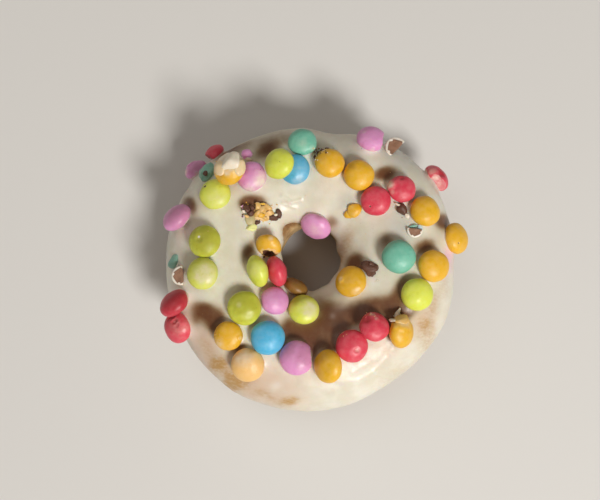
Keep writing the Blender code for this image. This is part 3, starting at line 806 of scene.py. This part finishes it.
def make_icing(beans, camera):
    """The coat of icing: the ring's section pushed out by a gap and a thickness that rounds off at its edges.

    Banks climb to each bean's foot, ridges and soft lumps lie over it, and a bead runs along its outer edge.
    """
    angle = np.arange(ICING_ROUND)[:, None] * 360.0 / ICING_ROUND
    step = np.linspace(0.0, 1.0, ICING_ACROSS)
    share = 0.7 * step + 0.3 * (0.5 - 0.5 * np.cos(math.pi * step))
    outer, inner = icing_edges(angle)
    place = outer + (inner - outer) * share
    base, normal = surface(angle, place)
    from_middle = np.abs(2.0 * share - 1.0)
    thickness = ICING_THICKNESS * np.sqrt(np.clip(1.0 - from_middle ** 9, 0.0, 1.0))
    bead = 0.28 * MM * np.exp(-((share - 0.035) / 0.022) ** 2)
    top = base + normal * (ICING_GAP + thickness)[:, None]
    x, y = camera.pixels(top)
    fade = smooth(np.minimum(share, 1.0 - share), 0.0, 0.06)
    seen = smooth(normal @ camera.back, 0.1, 0.35)
    height = 0.16 * MM * lumps(top, 8 * MM, 1) + 0.08 * MM * lumps(top, 3.2 * MM, 2)
    height = height + seen * sum(ridge(x, y, row) for row in RIDGES)
    near = np.ones(top.shape[:2])
    painted_shadow, weight, bleed = 0.0 * near, 0.0 * near, np.zeros(top.shape)
    for bean in beans:
        away = bean.depth_in(top)
        near = np.minimum(near, away)
        # Painted shadow: a soft brown field on the side of each bean away from the key lamp.
        shaded = np.linalg.norm((top - bean.centre) / bean.radii[0] - np.array(SHADOW_BEHIND_BEAN), axis=-1)
        painted_shadow = np.maximum(painted_shadow, np.exp(-(shaded / SHADOW_REACH) ** 2))
        pull = np.exp(-np.maximum(away, 0.0) / (0.7 * MM)) * (away < 6 * MM)
        bleed += pull[..., None] * np.array(SHELLS[bean.colour])
        weight += pull
    climb = 0.75 * MM * np.exp(-np.maximum(near, 0.0) / (0.7 * MM)) * smooth(near, -1.6 * MM, -0.2 * MM)
    top = top + normal * ((height + climb) * fade + bead)[..., None]
    paint = {name: seen * sum(patch(x, y, row) for row in rows) for name, rows in PATCHES.items()}
    paint["thin"] += 0.5 * smooth(share, 0.9, 1.0) + 0.35 * smooth(share, 0.10, 0.0)
    # The painted shadow behind each bean joins the deep brown.
    paint["deep"] += SHADOW_SHARE * painted_shadow
    paint["milk"] += 0.6 * smooth(near, 0.8 * MM, 0.1 * MM) * (1.0 - 0.75 * np.clip(paint["deep"], 0.0, 1.0))
    picked = np.linspace(ICING_ACROSS - 1, 0, ICING_UNDER).astype(int)
    under = base[:, picked] + normal[:, picked] * (ICING_GAP - 0.02 * MM)
    points = np.concatenate([top, under], axis=1)

    def flat(values):
        """Values of the top, with 0 for the under side."""
        return np.concatenate([values, np.zeros((ICING_ROUND, ICING_UNDER))], axis=1).ravel()

    bleed_share = np.clip(weight, 0.0, 1.0) * 0.16
    for *row, colour in STAINS:
        stain = seen * patch(x, y, row)
        bleed += 6.0 * stain[..., None] * np.array(SHELLS[colour])
        weight += 6.0 * stain
        bleed_share = np.maximum(bleed_share, stain)
    bleed = bleed / np.maximum(weight, 1e-6)[..., None]
    paint = {name: np.clip(flat(values), 0.0, 1.0) for name, values in paint.items()}
    paint["bleed"] = np.stack([flat(bleed[..., part]) for part in range(3)], axis=-1)
    paint["bleed_share"] = flat(bleed_share)
    heap = Heap(*paint)
    heap.add(points.reshape(-1, 3), grid_quads(*points.shape[:2]), **paint)
    item = heap.build("icing_coat", icing_finish(), "icing")
    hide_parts("icing")
    return item


def make_dough():
    """The fried ring: the same section with soft dents and blisters, flat where it rests."""
    angle = np.arange(DOUGH_ROUND)[:, None] * 360.0 / DOUGH_ROUND
    place = np.linspace(-1.0, 3.0, DOUGH_ACROSS)[None, :] + 0.0 * angle
    base, normal = surface(angle, np.clip(place, -0.985, 2.985))
    outer, inner = icing_edges(angle)
    bare = np.maximum(smooth(place, outer + 0.05, outer - 0.05), smooth(place, inner - 0.05, inner + 0.05))
    relief = sum(depth * lumps(base, size * MM, seed) for depth, size, seed in DOUGH_LUMPS) * MM
    points = base + normal * (relief * (0.25 + 0.75 * bare) - DOUGH_SUNK)[..., None]
    points[..., 2] = np.maximum(points[..., 2], 0.0)
    points[:, (0, -1), 2] = 0.0
    pale = smooth(place, -0.55, -0.3) * smooth(place, 0.3, 0.0)
    pale = pale + 0.6 * smooth(place, 1.5, 1.9) * smooth(place, 2.5, 2.2)
    pale = np.clip(pale, 0.0, 1.0).ravel()
    heap = Heap("pale")
    heap.add(points.reshape(-1, 3), grid_quads(DOUGH_ROUND, DOUGH_ACROSS), pale=pale)
    item = heap.build("fried_ring", dough_finish(), "dough")
    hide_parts("dough_ring")


def tree_of(item):
    points = [Vector(point) for point in points_of(item.data)]
    return BVHTree.FromPolygons(points, [tuple(face.vertices) for face in item.data.polygons])


BEAN_CELLS = 26
MARKED_CELLS = 36


def make_beans(beans, icing_tree, camera):
    """One piece for each colour of bean."""
    plain, fine = cube_ball(BEAN_CELLS), cube_ball(MARKED_CELLS)
    heaps = {}
    for bean in beans:
        number = int(bean.name.split("_")[1])
        marks = [Mark(kind, *row) for kind, rows in MARKS.items() for row in rows if row[0] == number]
        chip = CHIPS.get(number)
        ball, quads = fine if marks or chip else plain
        spot = np.array(icing_tree.find_nearest(Vector(bean.centre))[0])
        points, paint = bean_shape(bean, ball, marks, chip, (spot, unit(bean.centre - spot)), camera)
        heap = heaps.setdefault(bean.colour, (Heap(*PAINTS), []))
        heap[0].add(points, quads, **paint)
        heap[1].append(bean.name)
    pieces = []
    for colour, (heap, names) in heaps.items():
        finish = shell_finish(f"shell_{colour}", SHELLS[colour])
        item = heap.build(f"beans_{colour}", finish, f"shell_{colour}")
        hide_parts(*names)
        pieces.append(item)
    return pieces


# Broken shells, chocolate and crumbs that lie on the icing and on some beans.


@dataclass
class Bit:
    """A broken piece, centred where a pixel of the photo's frame shows it.

    size holds its half sizes in mm: to the right, up the frame and towards the eye. turn is its turn in the
    frame in degrees, lift raises it, in mm, and lean tips it over.
    """

    kind: str
    colour: str
    at: tuple
    size: tuple
    turn: float
    seed: int
    lift: float
    lean: float = 0.0


# The bits by kind and colour, each in the order of Bit's values.
BITS = {
    ("slice", "cream"): (
        ((394.3, 150.5), (3.4, 3.3, 2.6), -14, 1, 2.3), ((182.5, 275.5), (3, 2.8, 1.8), 32, 21, 1.2),
        ((414.5, 230), (2.3, 2.4, 1.5), 112, 27, 0.9),
    ),
    ("blob", "cream"): (((231, 162), (4, 3.5, 2.6), 25, 61, -1),),
    ("blob", "vanilla"): (
        ((220, 168), (2.1, 2.9, 1.4), 10, 62, -0.4), ((240.5, 167.5), (2, 2.8, 1.2), -20, 63, -0.35),
    ),
    ("blob", "honey"): (
        ((262, 212.5), (4.2, 2.9, 1), 8, 70, 0), ((403.5, 319), (3.2, 1.8, 1), 8, 35, -0.2),
    ),
    ("blob", "straw"): (((250, 219.5), (1.7, 2.4, 0.9), 35, 71, 0.1),),
    ("blob", "sea"): (((174, 261.5), (3, 2.2, 0.9), 10, 20, 0),),
    ("blob", "orange"): (
        ((353.5, 210.5), (2.7, 2.1, 1.5), 35, 22, 0.3), ((349.5, 214), (1.8, 1.4, 0.9), 20, 23, 0.1),
    ),
    ("lump", "sea"): (((208, 174), (2.4, 3.5, 1.5), -14, 2, 0.9, 10),),
    ("lump", "chocolate"): (
        ((208.5, 177), (0.9, 1.1, 0.5), 20, 3, 1.9), ((246.5, 209), (1.2, 1.7, 1.3), 25, 6, 0.4, 20),
        ((250, 213.5), (1.1, 1.5, 1.3), -30, 7, 0.5), ((251.5, 208), (1, 1.2, 1.2), -10, 50, 0.5),
        ((279, 213), (1, 1.7, 1), 20, 13, 0.4), ((272.5, 217.5), (1.8, 1, 0.8), -8, 14, 0.4),
        ((257.5, 222.5), (0.9, 0.8, 0.6), 5, 55, 0.3), ((400.5, 209.5), (2.1, 1.8, 1.4), -45, 24, 0.4),
        ((369.5, 267), (2.7, 2, 1.7), -8, 29, 0.7), ((370.5, 270.5), (1.8, 2, 1.4), 20, 30, 0.5),
        ((372.5, 266), (1.2, 1.7, 1.2), -10, 81, 0.8), ((364.5, 265), (1.1, 1, 1.1), 30, 82, 0.9),
        ((318, 153), (0.5, 0.8, 0.5), -35, 36, 0), ((322, 150.5), (0.7, 0.45, 0.5), 15, 37, 0),
        ((315, 157), (0.5, 0.7, 0.5), 0, 38, 0), ((327, 148.5), (0.7, 0.4, 0.5), 5, 65, 0),
    ),
    ("lump", "cream"): (
        ((249, 159.5), (1.1, 0.6, 0.5), -10, 5, 0.4), ((175.5, 260), (0.8, 0.7, 0.5), 30, 58, 0.1),
        ((407, 216), (0.9, 0.7, 0.6), -40, 26, 0.4),
    ),
    ("lump", "lemon"): (((251.5, 228), (1.7, 1.2, 0.9), 15, 17, 0.3),),
    ("lump", "peach"): (((346.5, 216.5), (0.6, 0.4, 0.4), 25, 59, 0.1),),
    ("flake", "pink"): (
        ((246.5, 155), (2.1, 1.8, 1.2), 10, 4, 0.7, 10), ((243.8, 206.5), (0.8, 0.4, 0.6), 20, 72, 0.8, 35),
    ),
    ("flake", "cream"): (
        ((243.8, 212), (0.6, 0.9, 0.7), 40, 8, 0.8, 35), ((275.5, 214.5), (0.9, 0.6, 0.7), 30, 54, 0.8, 20),
        ((399.5, 205.5), (1.7, 0.6, 0.9), -15, 25, 0.8, 45),
        ((397.5, 313.5), (0.8, 1.8, 1), -25, 31, 0.7, 15),
        ((393, 321.5), (2.1, 0.7, 0.9), -12, 33, 0.6, 15),
    ),
    ("flake", "peach"): (
        ((246, 216.5), (0.9, 0.5, 0.7), -30, 51, 0.8, 35), ((269.5, 213), (1, 1.6, 0.9), 35, 12, 0.8, 20),
    ),
    ("flake", "honey"): (
        ((257.5, 208), (1.3, 1.7, 1), 15, 9, 1, 25), ((262.5, 210), (1.5, 1.1, 1), 50, 10, 1.1, 25),
        ((256.5, 214), (1, 1.5, 1), -30, 53, 1, 30), ((267.5, 208), (1.6, 1.1, 0.9), -35, 11, 0.9, 25),
        ((264.5, 218), (1.3, 0.7, 0.7), -25, 19, 0.6, 20),
    ),
    ("flake", "orange"): (
        ((260.5, 215.5), (1.5, 1.2, 1), 20, 52, 0.9, 20), ((262, 204), (1.2, 0.6, 0.8), -10, 18, 0.7, 40),
    ),
    ("flake", "sky"): (((420.5, 230), (0.9, 1.9, 1), 15, 28, 0.3, 20),),
    ("flake", "sea"): (((413.5, 226), (1.8, 0.6, 0.9), 12, 60, 0.3, 30),),
}

# Crumbs: middle and half sizes of the strewn patch in the photo's pixels, how many, size in mm and colours.
CRUMBS = (
    ((368, 315), (3, 3), 6, 0.17, "cream red peach"), ((377, 318), (3, 2), 5, 0.15, "cream red peach"),
    ((321, 151), (8, 3), 34, 0.19, "cream chocolate honey chocolate"),
    ((315.5, 156.5), (2.5, 4), 14, 0.19, "cream chocolate chocolate"),
    ((246, 212), (5, 6), 30, 0.24, "cream pink chocolate chocolate"),
    ((261, 219), (12, 5), 30, 0.24, "honey orange honey chocolate"),
    ((269, 210), (8, 6), 24, 0.25, "cream honey honey"), ((254, 206), (8, 4), 12, 0.25, "honey orange"),
    ((248, 220), (4, 4), 10, 0.22, "straw cream"), ((218, 168), (2, 7), 18, 0.24, "peach cream"),
    ((399, 317), (7, 5), 10, 0.22, "honey cream"), ((342, 334), (5, 4), 5, 0.14, "red peach cream"),
    ((403, 212), (6, 6), 8, 0.22, "chocolate cream"), ((217, 338), (3, 6), 12, 0.15, "honey orange peach"),
    ((268, 254), (6, 3), 8, 0.3, "chocolate"), ((349, 216), (4, 2.5), 8, 0.17, "orange honey"),
    # The cream crumbs at (376, 281) also stand for a white glint there: a painted highlight.
    ((376, 281), (5, 3), 5, 0.2, "cream"), ((176, 268), (5, 4), 6, 0.2, "chocolate cream"),
    ((300, 180), (110, 55), 20, 0.12, "chocolate peach"),
)
BIT_CELLS = 12
CRUMB_CELLS = 4
CRUMB_SEED = 11


def facets(ways, rng, count, sharp):
    """Size along each way of a body cut by planes at seeded places, with its edges rounded off.

    The size is one over a high power mean of how far each plane is passed, so the nearest plane rules.
    """
    facing = unit(rng.normal(size=(count, ways.shape[1])))
    passed = np.maximum(ways @ facing.T / rng.uniform(0.55, 0.95, count), 0.0)
    return ((passed ** sharp).sum(axis=1) + 1.0) ** (-1.0 / sharp)


def roughened(points, depth, size, rng):
    return points * (1.0 + depth * lumps(points, size, int(rng.integers(1000))))[:, None]


def lump(ball, rng):
    """A broken lump: the ball cut by planes and roughened a little."""
    return roughened(ball * facets(ball, rng, 10, 24)[:, None], 0.09, 0.3, rng), 0.0, 0.0


def blob(ball, rng):
    """A soft lump of sugar: the ball with a few blunt sides."""
    return roughened(ball * facets(ball, rng, 8, 9)[:, None], 0.04, 0.5, rng), 0.0, 0.0


def flake(ball, rng):
    """A flake of shell: the ball pressed to a disc with a broken outline, thin, and bent like a cup."""
    spread = 1.0 - np.abs(np.arcsin(np.clip(ball[:, 2], -1.0, 1.0))) * 2.0 / math.pi
    flat = ball[:, :2] / np.maximum(np.linalg.norm(ball[:, :2], axis=1, keepdims=True), 1e-9)
    plan = flat * (spread * facets(flat, rng, 6, 20))[:, None]
    rise = 0.10 * np.sign(ball[:, 2]) * np.sqrt(np.clip(1.0 - spread ** 8, 0.0, 1.0))
    rise = rise - 0.7 * (plan ** 2).sum(axis=1) + 0.35
    inside = smooth(ball[:, 2], 0.05, -0.05)
    sugar = np.maximum(inside * 0.6, smooth(spread, 0.85, 1.0) * 0.4)
    return np.concatenate([plan, rise[:, None]], axis=1), sugar, 0.0


def slice_of_bean(ball, rng):
    """Half a bean lying with its broken face up: chocolate, with the rim of the shell round one side."""
    facing = np.array([(0.0, 0.0, 1.0), (0.87, -0.5, 0.0)])
    reach = np.array([0.25, 0.15])
    passed = np.maximum(ball @ facing.T / reach, 0.0)
    points = ball * (((passed ** 26).sum(axis=1) + 1.0) ** (-1.0 / 26.0))[:, None]
    away = np.linalg.norm(points[:, :2], axis=1)
    up = smooth(ball[:, 2], 0.12, 0.3)
    rim = smooth(away, 0.72, 0.80)
    face = up * (1.0 - rim)
    cuts = smooth(passed[:, 1], 0.9, 1.1) * (1.0 - up)
    rough = 0.05 * lumps(points, 0.3, int(rng.integers(1000)))
    points[:, 2] += rough * face - 0.14 * face
    return points, up * rim, np.maximum(face, cuts * 0.9)


MAKERS = {"lump": lump, "blob": blob, "flake": flake, "slice": slice_of_bean}


def turned(degrees, axis):
    """The matrix of a turn about axis 0, 1 or 2."""
    cos, sin = math.cos(math.radians(degrees)), math.sin(math.radians(degrees))
    one, other = (axis + 1) % 3, (axis + 2) % 3
    made = np.eye(3)
    made[one, one], made[one, other], made[other, one], made[other, other] = cos, -sin, sin, cos
    return made


def make_bits(trees, camera):
    """Every bit and crumb, set down where a ray through its pixel first meets the icing or a bean."""
    heap = Heap("skin", *PAINTS)
    large, small = cube_ball(BIT_CELLS), cube_ball(CRUMB_CELLS)
    rows = [(Bit(*kind, *row), large) for kind, group in BITS.items() for row in group]
    rng = np.random.default_rng(CRUMB_SEED)
    for (x, y), (half_x, half_y), count, size, colours in CRUMBS:
        for colour in itertools.islice(itertools.cycle(colours.split()), count):
            at = (x + half_x * rng.uniform(-1.0, 1.0), y + half_y * rng.uniform(-1.0, 1.0))
            sizes = size * rng.uniform(0.6, 1.4, 3)
            turn, seed = rng.uniform(0.0, 360.0), rng.integers(10000)
            rows.append((Bit("lump", colour, at, sizes, turn, seed, 0.0), small))
    for bit, (form, faces) in rows:
        way = Vector(camera.ray(bit.at))
        hits = [tree.ray_cast(Vector(camera.place), way) for tree in trees]
        hits = [hit for hit in hits if hit[0] is not None]
        if not hits:
            continue
        spot, normal, _, _ = min(hits, key=lambda hit: hit[3])
        up = unit(np.array(normal) + camera.back * (3.0 if bit.kind == "slice" else 0.3))
        points, sugar, core = MAKERS[bit.kind](form, np.random.default_rng(bit.seed))
        right = unit(np.cross((0.0, 1.0, 0.0), up))
        local = points * np.array(bit.size) * MM @ turned(bit.lean, 0).T @ turned(bit.turn, 2).T
        placed = np.array(spot) + up * bit.lift * MM + local @ np.stack([right, np.cross(up, right), up])
        cocoa = bit.colour == "chocolate"
        skin = SHELLS["cream" if cocoa else bit.colour]
        film = 1.2 * core if bit.kind == "slice" else 0.0
        heap.add(placed, faces, skin=skin, sugar=sugar, film=film, core=1.0 if cocoa else core)
    heap.build("shell_bits", shell_finish("broken_shells", None), "icing")


# Floor, light and surroundings, in metres and watts.

FLOOR_HALF = 4.0
LAMPS = (
    ("key", (0.60, -0.96, 1.20), 0.46, 24.0, (1.0, 0.97, 0.93)),
    ("fill", (-0.5, 0.35, 0.9), 0.8, 1.6, (1.0, 0.95, 0.88)),
)
WORLD_COLOUR = (1.0, 0.92, 0.83, 1.0)
WORLD_STRENGTH = 0.18


def add_floor():
    mesh = bpy.data.meshes.new("floor")
    corners = ((-1, -1), (1, -1), (1, 1), (-1, 1))
    mesh.from_pydata([(x * FLOOR_HALF, y * FLOOR_HALF, 0.0) for x, y in corners], [], [(0, 1, 2, 3)])
    mesh.materials.append(Finish("floor").wire(Base_Color=FLOOR_COLOUR, Roughness=0.7))
    floor = put("floor", mesh)


def add_lamp(name, place, size, power, colour):
    lamp = bpy.data.lights.new(name, "AREA")
    lamp.shape = "DISK"
    lamp.size = size
    lamp.energy = power
    lamp.color = colour
    item = put(name, lamp)
    item.location = place
    item.rotation_euler = Vector(place).to_track_quat("Z", "Y").to_euler()


def add_light():
    for row in LAMPS:
        add_lamp(*row)
    world = bpy.data.worlds.new("studio")
    bpy.context.scene.world = world
    world.use_nodes = True
    background = world.node_tree.nodes["Background"]
    background.inputs["Color"].default_value = WORLD_COLOUR
    background.inputs["Strength"].default_value = WORLD_STRENGTH
    bpy.context.scene.view_settings.view_transform = "Standard"


def main():
    camera = Camera()
    camera.add()
    add_floor()
    add_light()
    beans = [bean_from_solid(name) for name in sorted(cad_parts) if name.startswith("bean_")]
    make_dough()
    icing_tree = tree_of(make_icing(beans, camera))
    dressed = make_beans(beans, icing_tree, camera)
    make_bits([icing_tree] + [tree_of(item) for item in dressed], camera)


main()
